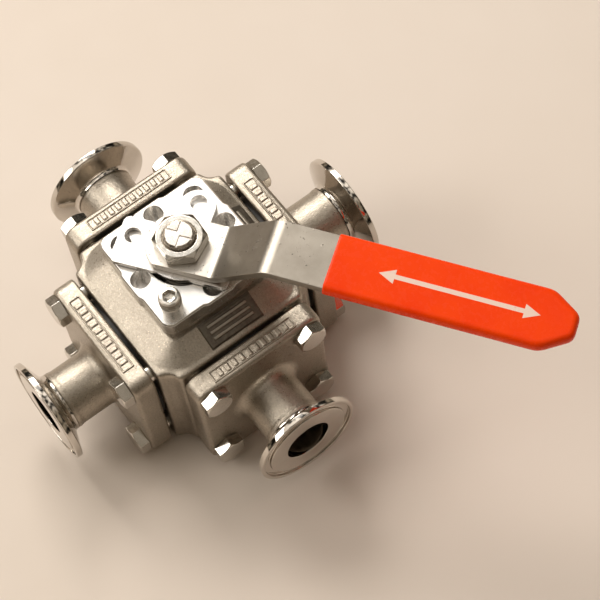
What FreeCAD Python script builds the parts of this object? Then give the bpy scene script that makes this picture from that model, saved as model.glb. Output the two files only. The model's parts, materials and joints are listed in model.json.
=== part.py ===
import FreeCAD, Part
import os
import re
import Sketcher

# Four-port diverter ball valve with clamp ferrules and a quarter-turn lever.
# +Z is up along the stem. The origin is the centre of the base face, on the stem axis.
# Ports lie on +X, -X, +Y and -Y. Pieces that turn are drawn with the lever along +X,
# then turned to its rest angle.

DIMENSIONS = [
    ("port_height", 36.0, "height of the port axes above the base"),
    ("face_dist", 85.0, "stem axis to ferrule face"),
    ("ferrule_r", 25.25, "ferrule rim radius"),
    ("rim_t", 2.8, "ferrule rim thickness"),
    ("rim_edge", 0.4, "bevel on the ferrule rim"),
    ("rim_foot", 3.9, "length of the ferrule's tapered back"),
    ("rim_root", 2.0, "fillet between ferrule and neck"),
    ("groove_r", 21.8, "mid radius of the clamp gasket groove"),
    ("groove_half", 1.6, "half width of the clamp gasket groove"),
    ("groove_deep", 1.5, "depth of the clamp gasket groove"),
    ("bore_r", 11.05, "tube bore radius"),
    ("tube_r", 14.4, "machined tube radius behind the ferrule"),
    ("neck_r", 14.0, "cast neck radius"),
    ("neck_end", 73.5, "stem axis to the end of the cast neck"),
    ("neck_step", 0.8, "length of the step from cast neck to machined tube"),
    ("neck_root", 5.0, "flare at the root of the neck"),
    ("cap_half", 33.5, "half width of the cap flange"),
    ("cap_corner", 6.0, "cap flange corner radius"),
    ("cap_in", 42.4, "stem axis to the inner face of the cap flange"),
    ("cap_out", 53.6, "stem axis to the outer face of the cap flange"),
    ("cap_edge", 2.2, "cast rounding of the outer cap edge"),
    ("cap_inner_edge", 0.8, "rounding of the inner cap edge"),
    ("spigot_r", 24.9, "cap spigot radius"),
    ("spigot_end", 26.0, "stem axis to the end of the cap spigot"),
    ("seat_back", 28.0, "stem axis to the back of the seat"),
    ("seat_pocket_r", 20.05, "seat pocket radius"),
    ("seat_r", 20.0, "seat outer radius"),
    ("seat_bore_r", 9.8, "seat bore radius"),
    ("seat_lip_x", 21.5, "stem axis to the seat's inner lip"),
    ("seat_tip_x", 18.65, "stem axis to the seat's sealing edge"),
    ("seat_tip_r", 14.0, "radius of the seat's sealing edge"),
    ("seat_heel_x", 19.4, "stem axis to the seat's outer edge"),
    ("seat_heel_r", 15.5, "radius of the seat's outer edge"),
    ("seat_rim_x", 22.5, "stem axis to the seat's full radius"),
    ("bolt_off", 25.5, "cap bolt offset from the port axis, each way"),
    ("bolt_r", 4.0, "cap bolt thread radius"),
    ("bolt_af", 13.0, "cap bolt width across flats"),
    ("bolt_head", 5.3, "cap bolt head height"),
    ("bolt_tip", 30.5, "stem axis to the cap bolt tip"),
    ("hole_gap", 0.05, "radial clearance of threads and bolts"),
    ("spot_r", 7.8, "radius of the spot face under a cap bolt"),
    ("spot_deep", 0.4, "depth of the spot face under a cap bolt"),
    ("frame_half", 22.0, "half length of the raised frame on a cap edge"),
    ("frame_in", 45.1, "stem axis to the inner side of the raised frame"),
    ("frame_out", 51.1, "stem axis to the outer side of the raised frame"),
    ("frame_line", 0.6, "width of the raised frame"),
    ("relief", 0.5, "height of raised frames and bars"),
    ("bar_first", 17.55, "first raised bar from the middle of the cap edge"),
    ("bar_pitch", 3.9, "pitch of the raised bars"),
    ("bar_half", 1.0, "half width of a raised bar"),
    ("bar_in", 46.3, "stem axis to the inner end of a raised bar"),
    ("bar_out", 49.9, "stem axis to the outer end of a raised bar"),
    ("body_half", 40.5, "half width of the valve body"),
    ("body_low", 2.5, "height of the foot under the body block"),
    ("body_high", 69.3, "height of the top of the body block"),
    ("foot_r", 27.0, "foot radius"),
    ("channel_r", 7.0, "radius of the corner channels"),
    ("channel_edge", 2.4, "cast rounding beside the corner channels"),
    ("block_edge", 2.0, "cast rounding of the body block"),
    ("crown_half", 38.2, "half width of the crown at its foot"),
    ("crown_corner", 15.0, "corner radius of the crown at its foot"),
    ("crown_top", 75.5, "height of the top of the crown"),
    ("crown_slope", 62.0, "slope of the crown from vertical"),
    ("waist_half", 23.0, "half width of the waist under the pad"),
    ("waist_corner", 8.0, "waist corner radius"),
    ("waist_root", 2.5, "fillet at the root of the waist"),
    ("pad_half", 27.75, "half width of the actuator pad"),
    ("pad_corner", 5.0, "actuator pad corner radius"),
    ("pad_low", 83.5, "underside of the actuator pad"),
    ("pad_high", 91.5, "top of the actuator pad"),
    ("pad_bevel", 0.7, "bevel around the actuator pad"),
    ("bump_half", 6.5, "half width of the bump outside a mid-side hole"),
    ("bump_out", 28.8, "stem axis to the outer face of the bump"),
    ("bump_side", 2.0, "run of the bump's slanted side"),
    ("corner_hole_at", 19.6, "corner hole offset from the stem axis, each way"),
    ("corner_hole_r", 4.7, "corner hole radius"),
    ("side_hole_at", 22.8, "mid-side hole offset from the stem axis"),
    ("side_hole_r", 4.5, "mid-side hole radius"),
    ("pad_hole_deep", 7.0, "depth of the pad holes"),
    ("stop_hole_deep", 7.5, "depth of the tapped stop screw hole"),
    ("overrun", 1.0, "overrun of cuts past a face"),
    ("plate_half", 13.5, "half length of the raised nameplate"),
    ("plate_in", 27.6, "stem axis to the inner side of the raised nameplate"),
    ("plate_out", 37.4, "stem axis to the outer side of the raised nameplate"),
    ("plate_rise", 0.7, "height of the raised nameplate above the slope"),
    ("plate_root", 1.0, "depth of the raised nameplate's root"),
    ("plate_bar_x", 29.0, "stem axis to the first nameplate bar"),
    ("plate_bar_step", 2.6, "pitch of the nameplate bars"),
    ("plate_bar_wide", 1.1, "width of a nameplate bar"),
    ("plate_bar_rise", 0.4, "height of a nameplate bar"),
    ("plate_bar_end", 10.5, "half length of the nameplate bars"),
    ("cavity_r", 25.0, "radius of the cross bores in the body"),
    ("gasket_r", 30.0, "body gasket outer radius"),
    ("gasket_seat", 39.0, "stem axis to the bottom of the gasket counterbore"),
    ("bolt_hole_end", 30.0, "stem axis to the bottom of a tapped hole"),
    ("collar_bore_r", 11.5, "radius of the stem collar recess"),
    ("collar_bore_z", 50.0, "start of the stem collar recess, inside the cavity"),
    ("stem_collar_r", 11.2, "stem collar radius"),
    ("stem_collar_low", 59.6, "underside of the stem collar"),
    ("stem_collar_high", 62.5, "top of the stem collar"),
    ("thrust_low", 62.6, "underside of the thrust washer"),
    ("shoulder_z", 64.0, "body shoulder above the thrust washer"),
    ("shaft_r", 8.0, "stem shaft radius"),
    ("shaft_gap", 0.08, "radial running clearance of the shaft"),
    ("packing_low", 68.0, "bottom of the packing chamber"),
    ("packing_r", 12.0, "packing chamber radius"),
    ("packing_t", 3.0, "height of one packing ring"),
    ("packing_cone", 0.8, "height of the packing ring's cone"),
    ("gland_low", 77.9, "underside of the gland ring"),
    ("gland_high", 83.4, "top of the gland ring"),
    ("well_low", 82.4, "bottom of the gland well"),
    ("well_r", 17.4, "gland well radius"),
    ("gland_flange_r", 14.5, "gland ring flange radius"),
    ("spring_r", 13.0, "disc spring outer radius"),
    ("spring_t", 0.9, "disc spring thickness"),
    ("spring_cone", 0.5, "disc spring cone height"),
    ("spring_low", 83.5, "underside of the disc springs"),
    ("gland_nut_low", 86.4, "underside of the gland nut"),
    ("gland_nut_t", 4.6, "gland nut height"),
    ("gland_nut_af", 24.0, "gland nut width across flats"),
    ("ball_r", 23.0, "ball radius"),
    ("passage_r", 8.5, "radius of the two elbow passages in the ball"),
    ("slot_half", 4.1, "half width of the ball's drive slot"),
    ("slot_low", 54.5, "bottom of the ball's drive slot"),
    ("tang_half", 4.0, "half width of the stem's drive tang"),
    ("tang_reach", 10.0, "half length of the stem's drive tang"),
    ("tang_low", 54.8, "underside of the stem's drive tang"),
    ("flat_half", 7.1, "half width across the two stem flats"),
    ("flat_high", 98.2, "top of the stem flats"),
    ("thread_r", 7.0, "stem thread radius"),
    ("stem_high", 107.0, "top of the stem"),
    ("stem_bevel", 1.0, "bevel on the stem end"),
    ("mark_half", 0.35, "half width of the flow marks on the stem end"),
    ("mark_in", 0.9, "flow mark offset from the stem axis"),
    ("mark_deep", 0.5, "depth of the flow marks"),
    ("stop_low", 91.9, "underside of the stop plate"),
    ("stop_t", 2.5, "stop plate thickness"),
    ("stop_hub_r", 16.0, "stop plate hub radius"),
    ("stop_edge", 14.5, "stop edge offset from the stem axis"),
    ("stop_toe", 25.0, "reach of the stop lug under the lever"),
    ("stop_heel", 29.4, "reach of the lug opposite the lever"),
    ("heel_top", 8.8, "upper side of the lug opposite the lever"),
    ("lobe_half", 8.3, "half width of the padlock lobe"),
    ("lobe_at", 21.0, "centre of the padlock lobe's round end"),
    ("lock_hole_at", 22.9, "padlock hole offset from the stem axis"),
    ("lock_hole_r", 3.75, "padlock hole radius"),
    ("stop_corner", 3.0, "stop plate corner radius"),
    ("strip_half", 13.2, "half width of the lever"),
    ("strip_t", 4.0, "lever thickness"),
    ("strip_z", 98.4, "top of the lever at the stem"),
    ("head_r", 16.0, "lever head radius"),
    ("first_bend", 17.9, "stem axis to the first bend"),
    ("second_bend", 42.8, "stem axis to the second bend"),
    ("far_z", 117.3, "top of the lever at the second bend"),
    ("droop", 2.6, "fall of the lever beyond the second bend"),
    ("far_run", 128.0, "lever length beyond the second bend"),
    ("bend_outer", 10.0, "outer bend radius"),
    ("bend_inner", 6.0, "inner bend radius"),
    ("nose_start", 119.0, "second bend to the start of the lever's narrowed tip"),
    ("strip_tip_half", 6.0, "half width of the lever's tip"),
    ("nut_t", 6.6, "lever nut height"),
    ("nut_af", 21.5, "lever nut width across flats"),
    ("nut_turn", 21.0, "turn of the lever nut's corners from the lever"),
    ("grip_start", 27.0, "second bend to the start of the grip"),
    ("grip_end", 134.0, "second bend to the tip of the grip"),
    ("grip_half", 14.2, "half width of the grip"),
    ("grip_wall", 1.6, "grip wall above and below the lever"),
    ("grip_gap", 0.05, "clearance between lever and grip"),
    ("grip_tip_gap", 0.5, "clearance past the lever's tip inside the grip"),
    ("grip_nose_run", 13.0, "length of the grip's tapered nose"),
    ("grip_nose_half", 5.5, "half width of the grip's blunt tip"),
    ("grip_round", 2.8, "rounding of the grip's long edges"),
    ("grip_nose_round", 10.0, "rounding of the grip's shoulders in plan"),
    ("grip_tip_round", 5.0, "rounding of the grip's blunt tip in plan"),
    ("screw_r", 5.0, "stop screw head radius"),
    ("screw_high", 102.0, "top of the stop screw head"),
    ("screw_bevel", 0.5, "bevel on the stop screw head"),
    ("screw_shank_r", 3.0, "stop screw thread radius"),
    ("screw_tip", 84.8, "lower end of the stop screw"),
    ("socket_af", 5.0, "stop screw socket width across flats"),
    ("socket_deep", 3.0, "stop screw socket depth"),
    ("stop_sleeve_r", 4.8, "radius of the sleeve that the stop plate meets"),
    ("stop_sleeve_high", 96.0, "top of the stop sleeve"),
    ("stop_sleeve_bevel", 0.3, "bevel on the stop sleeve"),
    ("lever_angle", 36.0, "lever direction at rest, from +X towards +Y"),
]

SIDES = (("px", "0"), ("py", "90"), ("nx", "180"), ("ny", "270"))
QUARTERS = ((1, 1), (-1, 1), (-1, -1), (1, -1))
FULL_TURN = 360
UP = FreeCAD.Vector(0, 0, 1)
AT_PORTS = ("0", "0", "port_height")
AT_STOP = ("corner_hole_at", "-corner_hole_at", "0")
TURNED = "lever_angle"
BARS = range(10)
PLATE_BARS = range(3)
PACKING_RINGS = range(3)

doc = FreeCAD.newDocument("diverter_valve")
sheet = doc.addObject("Spreadsheet::Sheet", "Dims")
ALIASES = {alias for alias, _, _ in DIMENSIONS}
for row, (alias, size, note) in enumerate(DIMENSIONS, 1):
    sheet.set(f"A{row}", note)
    sheet.set(f"B{row}", str(size))
    sheet.setAlias(f"B{row}", alias)
doc.recompute()

pieces = []


def formula(text):
    """Put the sheet's name before each of its aliases in a formula."""
    return re.sub(r"[a-z]\w*", lambda word: f"Dims.{word[0]}" if word[0] in ALIASES else word[0], str(text))


def value(text):
    return float(sheet.evalExpression(formula(text)))


def bind(thing, **sizes):
    for prop, text in sizes.items():
        thing.setExpression(prop.replace("__", "."), formula(text))
    return thing


def keep(thing, name, angle="0", at=("0", "0", "0")):
    """Name a finished piece and set where it stands."""
    thing.Label = name
    spot = FreeCAD.Vector(*[value(text) for text in at])
    thing.Placement = FreeCAD.Placement(spot, FreeCAD.Rotation(UP, value(angle)))
    bind(thing, Placement__Base__x=at[0], Placement__Base__y=at[1], Placement__Base__z=at[2])
    bind(thing, Placement__Rotation__Angle=angle)
    pieces.append(thing)
    return thing


# Sketch and feature helpers


def new_body(name):
    return doc.addObject("PartDesign::Body", name + "_body")


def sketch(body, name, role="XY_Plane", lift="0"):
    plane = next(item for item in body.Origin.OriginFeatures if item.Role == role)
    drawing = body.newObject("Sketcher::SketchObject", f"{body.Name}_{name}")
    drawing.AttachmentSupport = [(plane, "")]
    drawing.MapMode = "FlatFace"
    bind(drawing, AttachmentOffset__Base__z=lift)
    return drawing


def pin(drawing, index, point, across, up):
    """Hold one sketch point at formulas for its two coordinates."""
    for kind, axis, text in (("DistanceX", -2, across), ("DistanceY", -1, up)):
        size = value(text)
        if abs(size) < 1e-9:
            drawing.addConstraint(Sketcher.Constraint("PointOnObject", index, point, axis))
        else:
            row = drawing.addConstraint(Sketcher.Constraint(kind, -1, 1, index, point, size))
            drawing.setExpression(f"Constraints[{row}]", formula(text))


def outline(drawing, corners):
    """Closed straight-sided outline through corners given as formulas."""
    spots = [FreeCAD.Vector(value(across), value(up), 0) for across, up in corners]
    first = drawing.GeometryCount
    count = len(spots)
    for index in range(count):
        drawing.addGeometry(Part.LineSegment(spots[index], spots[(index + 1) % count]))
    for index in range(count):
        ends = (first + index, 2, first + (index + 1) % count, 1)
        drawing.addConstraint(Sketcher.Constraint("Coincident", *ends))
    for index, (across, up) in enumerate(corners):
        pin(drawing, first + index, 1, across, up)
    return drawing


def rectangle(drawing, left, low, right, high):
    return outline(drawing, [(left, low), (right, low), (right, high), (left, high)])


def square(drawing, half):
    return rectangle(drawing, f"-({half})", f"-({half})", half, half)


def rounded_square(drawing, half, radius):
    """Square outline whose corners are arcs."""
    reach = value(half)
    inner = value(f"{half} - {radius}")
    flat = f"{half} - {radius}"
    corners = []
    for across, up in QUARTERS:
        centre = FreeCAD.Vector(across * inner, up * inner, 0)
        ends = [FreeCAD.Vector(across * reach, up * inner, 0), FreeCAD.Vector(across * inner, up * reach, 0)]
        if across * up < 0:
            ends.reverse()
        middle = centre + FreeCAD.Vector(across, up, 0).normalize() * value(radius)
        corners.append(drawing.addGeometry(Part.Arc(ends[0], middle, ends[1])))
    for index, arc in enumerate(corners):
        following = corners[(index + 1) % len(corners)]
        line = drawing.addGeometry(Part.LineSegment(drawing.getPoint(arc, 2), drawing.getPoint(following, 1)))
        drawing.addConstraint(Sketcher.Constraint("Tangent", arc, 2, line, 1))
        drawing.addConstraint(Sketcher.Constraint("Tangent", line, 2, following, 1))
        across, up = QUARTERS[index]
        pin(drawing, arc, 3, f"{across} * ({flat})", f"{up} * ({flat})")
        row = drawing.addConstraint(Sketcher.Constraint("Radius", arc, value(radius)))
        drawing.setExpression(f"Constraints[{row}]", formula(radius))
    return drawing


def ring(drawing, across, up, radius):
    centre = FreeCAD.Vector(value(across), value(up), 0)
    index = drawing.addGeometry(Part.Circle(centre, FreeCAD.Vector(0, 0, 1), value(radius)))
    pin(drawing, index, 3, across, up)
    row = drawing.addConstraint(Sketcher.Constraint("Radius", index, value(radius)))
    drawing.setExpression(f"Constraints[{row}]", formula(radius))
    return drawing


def extrude(kind, drawing, length, away=False, both=False, taper=None):
    body = drawing.getParentGeoFeatureGroup()
    feature = body.newObject(f"PartDesign::{kind}", f"{drawing.Name}_{kind}")
    feature.Profile = drawing
    feature.Reversed = away
    feature.SideType = "Symmetric" if both else "One side"
    bind(feature, Length=length)
    if taper:
        bind(feature, TaperAngle=taper)
    return feature


def pad(drawing, length, **options):
    return extrude("Pad", drawing, length, **options)


def pocket(drawing, length, **options):
    return extrude("Pocket", drawing, length, **options)


def spin(kind, drawing, axis):
    body = drawing.getParentGeoFeatureGroup()
    feature = body.newObject(f"PartDesign::{kind}", f"{drawing.Name}_{kind}")
    feature.Profile = drawing
    feature.ReferenceAxis = (drawing, [axis])
    feature.Angle = FULL_TURN
    return feature


def revolve(drawing, axis="V_Axis"):
    return spin("Revolution", drawing, axis)


def groove(drawing, axis="V_Axis"):
    return spin("Groove", drawing, axis)


def dress(kind, body, size, wanted):
    """Round or bevel the edges of a body that wanted() accepts."""
    doc.recompute()
    base = body.Tip
    names = [f"Edge{index}" for index, edge in enumerate(base.Shape.Edges, 1) if wanted(edge)]
    if not names:
        raise RuntimeError(f"no edges found on {body.Name}")
    feature = body.newObject(f"PartDesign::{kind}", f"{body.Name}_{kind}")
    feature.Base = (base, names)
    bind(feature, **({"Radius": size} if kind == "Fillet" else {"Size": size}))
    return feature


def fillet(body, size, wanted):
    return dress("Fillet", body, size, wanted)


def chamfer(body, size, wanted):
    return dress("Chamfer", body, size, wanted)


def upright(edge):
    box = edge.BoundBox
    return box.ZLength > 0.5 and box.XLength < 0.01 and box.YLength < 0.01


def near(number, text):
    return abs(number - value(text)) < 0.01


def level(edge, text):
    box = edge.BoundBox
    return near(box.ZMin, text) and near(box.ZMax, text)


def facing(edge, text):
    box = edge.BoundBox
    return near(box.XMin, text) and near(box.XMax, text)


# Primitive helpers


def primitive(kind, name, at=("0", "0", "0"), rotation=None, **sizes):
    thing = doc.addObject(f"Part::{kind}", name)
    if rotation:
        thing.Placement = FreeCAD.Placement(FreeCAD.Vector(), rotation)
    bind(thing, **sizes)
    bind(thing, Placement__Base__x=at[0], Placement__Base__y=at[1], Placement__Base__z=at[2])
    return thing


def combine(kind, name, base, tool):
    thing = doc.addObject(f"Part::{kind}", name)
    thing.Base = base
    thing.Tool = tool
    return thing


def group(kind, name, things):
    thing = doc.addObject(f"Part::{kind}", name)
    if kind == "Compound":
        thing.Links = things
    else:
        thing.Shapes = things
    return thing


def cylinder(name, radius, height, at):
    return primitive("Cylinder", name, at, Radius=radius, Height=height)


def slab(name, low, size):
    return primitive("Box", name, low, Length=size[0], Width=size[1], Height=size[2])


def hex_corners(flats):
    corner = f"({flats}) / sqrt(3)"
    half = f"({flats}) / 2"
    slant = f"({flats}) / sqrt(12)"
    return [
        (corner, "0"), (slant, half), (f"-{slant}", half),
        (f"-{corner}", "0"), (f"-{slant}", f"-{half}"), (slant, f"-{half}"),
    ]


def chamfered_hex(name, flats, low, height, both_ends):
    """Hexagonal prism along Z whose corners are turned off at 30 degrees."""
    prism = new_body(name)
    pad(outline(sketch(prism, "hex", lift=low), hex_corners(flats)), height)
    turned = new_body(name + "_turned")
    small = f"{flats} * 0.475"
    wide = f"{flats} * 0.62"
    rise = f"({wide} - {small}) * tan(30)"
    top = f"{low} + {height}"
    bottom = [("0", low), (small, low), (wide, f"{low} + {rise}")]
    plain = [("0", low), (wide, low)]
    corners = bottom if both_ends else plain
    corners = corners + [(wide, f"{top} - {rise}"), (small, top), ("0", top)]
    revolve(outline(sketch(turned, "profile", "XZ_Plane"), corners))
    return combine("Common", name + "_blank", prism, turned)


def bored_nut(name, flats, low, height, hole):
    blank = chamfered_hex(name, flats, low, height, True)
    return combine("Cut", name, blank, cylinder(name + "_bore", hole, height, ("0", "0", low)))


# Edge tests


def is_round(edge, radius):
    curve = edge.Curve
    return hasattr(curve, "Radius") and near(curve.Radius, radius)


def at_corner(edge, half):
    box = edge.BoundBox
    return upright(edge) and near(abs(box.XMin), half) and near(abs(box.YMin), half)


def along_x(edge):
    box = edge.BoundBox
    return box.XLength > 0.5 and box.YLength < 0.01 and box.ZLength < 0.01


# Castings


def valve_body():
    body = new_body("valve_body")
    pad(ring(sketch(body, "foot"), "0", "0", "foot_r"), "body_low + block_edge")
    pad(square(sketch(body, "block", lift="body_low"), "body_half"), "body_high - body_low")
    channels = sketch(body, "channels")
    for across, up in QUARTERS:
        ring(channels, f"{across} * body_half", f"{up} * body_half", "channel_r")
    pocket(channels, "body_high + overrun", away=True)
    fillet(body, "channel_edge", lambda edge: upright(edge) and edge.BoundBox.ZLength > value("port_height"))
    fillet(body, "block_edge", lambda edge: level(edge, "body_high")
           or level(edge, "body_low") and not is_round(edge, "foot_r"))
    crown = rounded_square(sketch(body, "crown", lift="body_high"), "crown_half", "crown_corner")
    pad(crown, "crown_top - body_high", taper="-crown_slope")
    pad(square(sketch(body, "waist", lift="body_high"), "waist_half"), "pad_low - body_high + overrun")
    fillet(body, "waist_corner", lambda edge: at_corner(edge, "waist_half"))
    fillet(body, "waist_root", lambda edge: level(edge, "crown_top")
           and max(abs(edge.BoundBox.XMax), abs(edge.BoundBox.YMax), abs(edge.BoundBox.XMin),
                   abs(edge.BoundBox.YMin)) < value("waist_half + overrun"))
    pad(square(sketch(body, "pad", lift="pad_low"), "pad_half"), "pad_high - pad_low")
    fillet(body, "pad_corner", lambda edge: at_corner(edge, "pad_half"))
    bumps = sketch(body, "bumps", lift="pad_low")
    for sign in ("", "-"):
        inner = f"{sign}(pad_half - overrun)"
        middle = f"{sign}pad_half"
        outer = f"{sign}bump_out"
        wide = "bump_half + bump_side"
        side = [(inner, f"-({wide})"), (middle, f"-({wide})"), (outer, "-bump_half"),
                (outer, "bump_half"), (middle, wide), (inner, wide)]
        outline(bumps, side)
        outline(bumps, [(up, across) for across, up in side])
    pad(bumps, "pad_high - pad_low")
    chamfer(body, "pad_bevel", lambda edge: level(edge, "pad_high"))
    nameplates(body)
    body_cuts(body)
    return body


def slope_strip(drawing, near_end, far_end, rise):
    """Side view of a strip that stands on the crown's slope, between two distances from the stem axis."""
    fall = "(crown_half - {}) / tan(crown_slope) + body_high"
    low, high = fall.format(far_end), fall.format(near_end)
    return outline(drawing, [
        (near_end, f"{high} - plate_root"), (far_end, f"{low} - plate_root"),
        (far_end, f"{low} + {rise}"), (near_end, f"{high} + {rise}"),
    ])


def nameplates(body):
    for role in ("XZ_Plane", "YZ_Plane"):
        plate = slope_strip(sketch(body, "plate_" + role, role), "plate_in", "plate_out", "plate_rise")
        pad(plate, "2 * plate_half", both=True)
    for index in PLATE_BARS:
        inner = f"(plate_bar_x + {index} * plate_bar_step)"
        outer = f"({inner} + plate_bar_wide)"
        side_view = sketch(body, f"plate_bar_{index}", "XZ_Plane")
        slope_strip(side_view, inner, outer, "plate_rise + plate_bar_rise")
        pad(side_view, "2 * plate_bar_end", both=True)


def body_cuts(body):
    for role in ("YZ_Plane", "XZ_Plane"):
        bore = ring(sketch(body, "cross_" + role, role), "0", "port_height", "cavity_r")
        pocket(bore, "2 * (body_half + overrun)", both=True)
        for sign, away in (("", True), ("-", False)):
            name = f"{role}_{'plus' if away else 'minus'}"
            seat = ring(sketch(body, "seat_" + name, role, f"{sign}gasket_seat"), "0", "port_height",
                        "gasket_r + hole_gap")
            pocket(seat, "body_half - gasket_seat + overrun", away=away)
            holes = sketch(body, "holes_" + name, role, f"{sign}bolt_hole_end")
            for across, up in QUARTERS:
                ring(holes, f"{across} * bolt_off", f"port_height + {up} * bolt_off", "bolt_r + hole_gap")
            pocket(holes, "body_half - bolt_hole_end + overrun", away=away)
    stem_bore = sketch(body, "stem_bore", "XZ_Plane")
    outline(stem_bore, [
        ("0", "collar_bore_z"), ("collar_bore_r", "collar_bore_z"),
        ("collar_bore_r", "shoulder_z"), ("shaft_r + shaft_gap", "shoulder_z"),
        ("shaft_r + shaft_gap", "packing_low"), ("packing_r", "packing_low"),
        ("packing_r", "well_low"), ("well_r", "well_low"),
        ("well_r", "pad_high + overrun"), ("0", "pad_high + overrun"),
    ])
    groove(stem_bore)
    pad_holes = sketch(body, "pad_holes", lift="pad_high")
    for across, up in QUARTERS[:3]:
        ring(pad_holes, f"{across} * corner_hole_at", f"{up} * corner_hole_at", "corner_hole_r")
    for across, up in ((1, 0), (0, 1), (-1, 0), (0, -1)):
        ring(pad_holes, f"{across} * side_hole_at", f"{up} * side_hole_at", "side_hole_r")
    pocket(pad_holes, "pad_hole_deep")
    stop_hole = sketch(body, "stop_hole", lift="pad_high")
    ring(stop_hole, "corner_hole_at", "-corner_hole_at", "screw_shank_r + hole_gap")
    pocket(stop_hole, "stop_hole_deep")


def end_cap(side):
    """Square cap with neck and clamp ferrule, drawn along +X from the port axis."""
    body = new_body("end_cap_" + side)
    pad(square(sketch(body, "flange", "YZ_Plane", "cap_in"), "cap_half"), "cap_out - cap_in")
    fillet(body, "cap_corner", along_x)
    fillet(body, "cap_edge", lambda edge: facing(edge, "cap_out"))
    fillet(body, "cap_inner_edge", lambda edge: facing(edge, "cap_in"))
    outline(sketch(body, "profile", "XZ_Plane"), [
        ("spigot_end", "0"), ("spigot_end", "spigot_r"),
        ("cap_in + cap_edge", "spigot_r"), ("cap_in + cap_edge", "neck_r"), ("neck_end", "neck_r"),
        ("neck_end + neck_step", "tube_r"), ("face_dist - rim_t - rim_foot", "tube_r"),
        ("face_dist - rim_t", "ferrule_r"), ("face_dist - rim_edge", "ferrule_r"),
        ("face_dist", "ferrule_r - rim_edge"), ("face_dist", "0"),
    ])
    revolve(body.Group[-1], "H_Axis")
    fillet(body, "neck_root", lambda edge: is_round(edge, "neck_r") and facing(edge, "cap_out"))
    fillet(body, "rim_root", lambda edge: is_round(edge, "tube_r")
           and facing(edge, "face_dist - rim_t - rim_foot"))
    pocket(ring(sketch(body, "bore", "YZ_Plane"), "0", "0", "bore_r"), "face_dist + overrun", away=True)
    seat = ring(sketch(body, "seat", "YZ_Plane", "seat_back"), "0", "0", "seat_pocket_r")
    pocket(seat, "seat_back - spigot_end + overrun")
    face_groove = sketch(body, "face_groove", "XZ_Plane")
    rectangle(face_groove, "face_dist - groove_deep", "groove_r - groove_half",
              "face_dist + overrun", "groove_r + groove_half")
    groove(face_groove, "H_Axis")
    holes = sketch(body, "holes", "YZ_Plane", "cap_in - overrun")
    spots = sketch(body, "spots", "YZ_Plane", "cap_out - spot_deep")
    for across, up in QUARTERS:
        ring(holes, f"{across} * bolt_off", f"{up} * bolt_off", "bolt_r + hole_gap")
        ring(spots, f"{across} * bolt_off", f"{up} * bolt_off", "spot_r")
    pocket(holes, "cap_out - cap_in + 2 * overrun", away=True)
    pocket(spots, "spot_deep + overrun", away=True)
    cast_relief(body)
    return body


def cast_relief(body):
    """Raised frame with plain bars along the cap's upper edge."""
    frame = sketch(body, "frame", lift="cap_half - relief")
    rectangle(frame, "frame_in", "-frame_half", "frame_out", "frame_half")
    rectangle(frame, "frame_in + frame_line", "frame_line - frame_half",
              "frame_out - frame_line", "frame_half - frame_line")
    pad(frame, "2 * relief")
    bars = sketch(body, "bars", lift="cap_half - relief")
    for index in BARS:
        middle = f"{index} * bar_pitch - bar_first"
        rectangle(bars, "bar_in", f"{middle} - bar_half", "bar_out", f"{middle} + bar_half")
    pad(bars, "2 * relief")


# Pieces at each port, drawn along +X from the port axis


def revolved_x(name, corners):
    body = new_body(name)
    revolve(outline(sketch(body, "profile", "XZ_Plane"), corners), "H_Axis")
    return body


def body_gasket(side):
    return revolved_x("body_gasket_" + side, [
        ("gasket_seat", "spigot_r + hole_gap"), ("gasket_seat", "gasket_r"),
        ("cap_in", "gasket_r"), ("cap_in", "spigot_r + hole_gap"),
    ])


def seat_ring(side):
    return revolved_x("seat_ring_" + side, [
        ("seat_lip_x", "seat_bore_r"), ("seat_tip_x", "seat_tip_r"), ("seat_heel_x", "seat_heel_r"),
        ("seat_rim_x", "seat_r"), ("seat_back", "seat_r"), ("seat_back", "seat_bore_r"),
    ])


def cap_bolts(side):
    """Four separate hexagon cap screws whose heads face +X."""
    bolts = []
    outward = FreeCAD.Rotation(FreeCAD.Vector(0, 1, 0), 90)
    for index, (across, up) in enumerate(QUARTERS):
        name = f"cap_bolt_{side}_{index}"
        head = chamfered_hex(name, "bolt_af", "cap_out - spot_deep", "bolt_head", False)
        shank = cylinder(name + "_shank", "bolt_r", "cap_out - spot_deep - bolt_tip", ("0", "0", "bolt_tip"))
        bolt = combine("Fuse", name, head, shank)
        bolt.Placement = FreeCAD.Placement(FreeCAD.Vector(), outward)
        bind(bolt, Placement__Base__y=f"{across} * bolt_off", Placement__Base__z=f"{up} * bolt_off")
        bolts.append(bolt)
    return group("Compound", "cap_bolts_" + side, bolts)


# Stem parts


def revolved_z(name, corners):
    body = new_body(name)
    revolve(outline(sketch(body, "profile", "XZ_Plane"), corners))
    return body


def flatted_hole(name, low, height):
    """Round hole with two flats, for the stem's end."""
    round_part = cylinder(name + "_round", "shaft_r + shaft_gap", height, ("0", "0", low))
    flats = slab(name + "_flats", ("-stop_hub_r", "-(flat_half + shaft_gap)", low),
                 ("2 * stop_hub_r", "2 * (flat_half + shaft_gap)", height))
    return combine("Common", name, round_part, flats)


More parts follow.
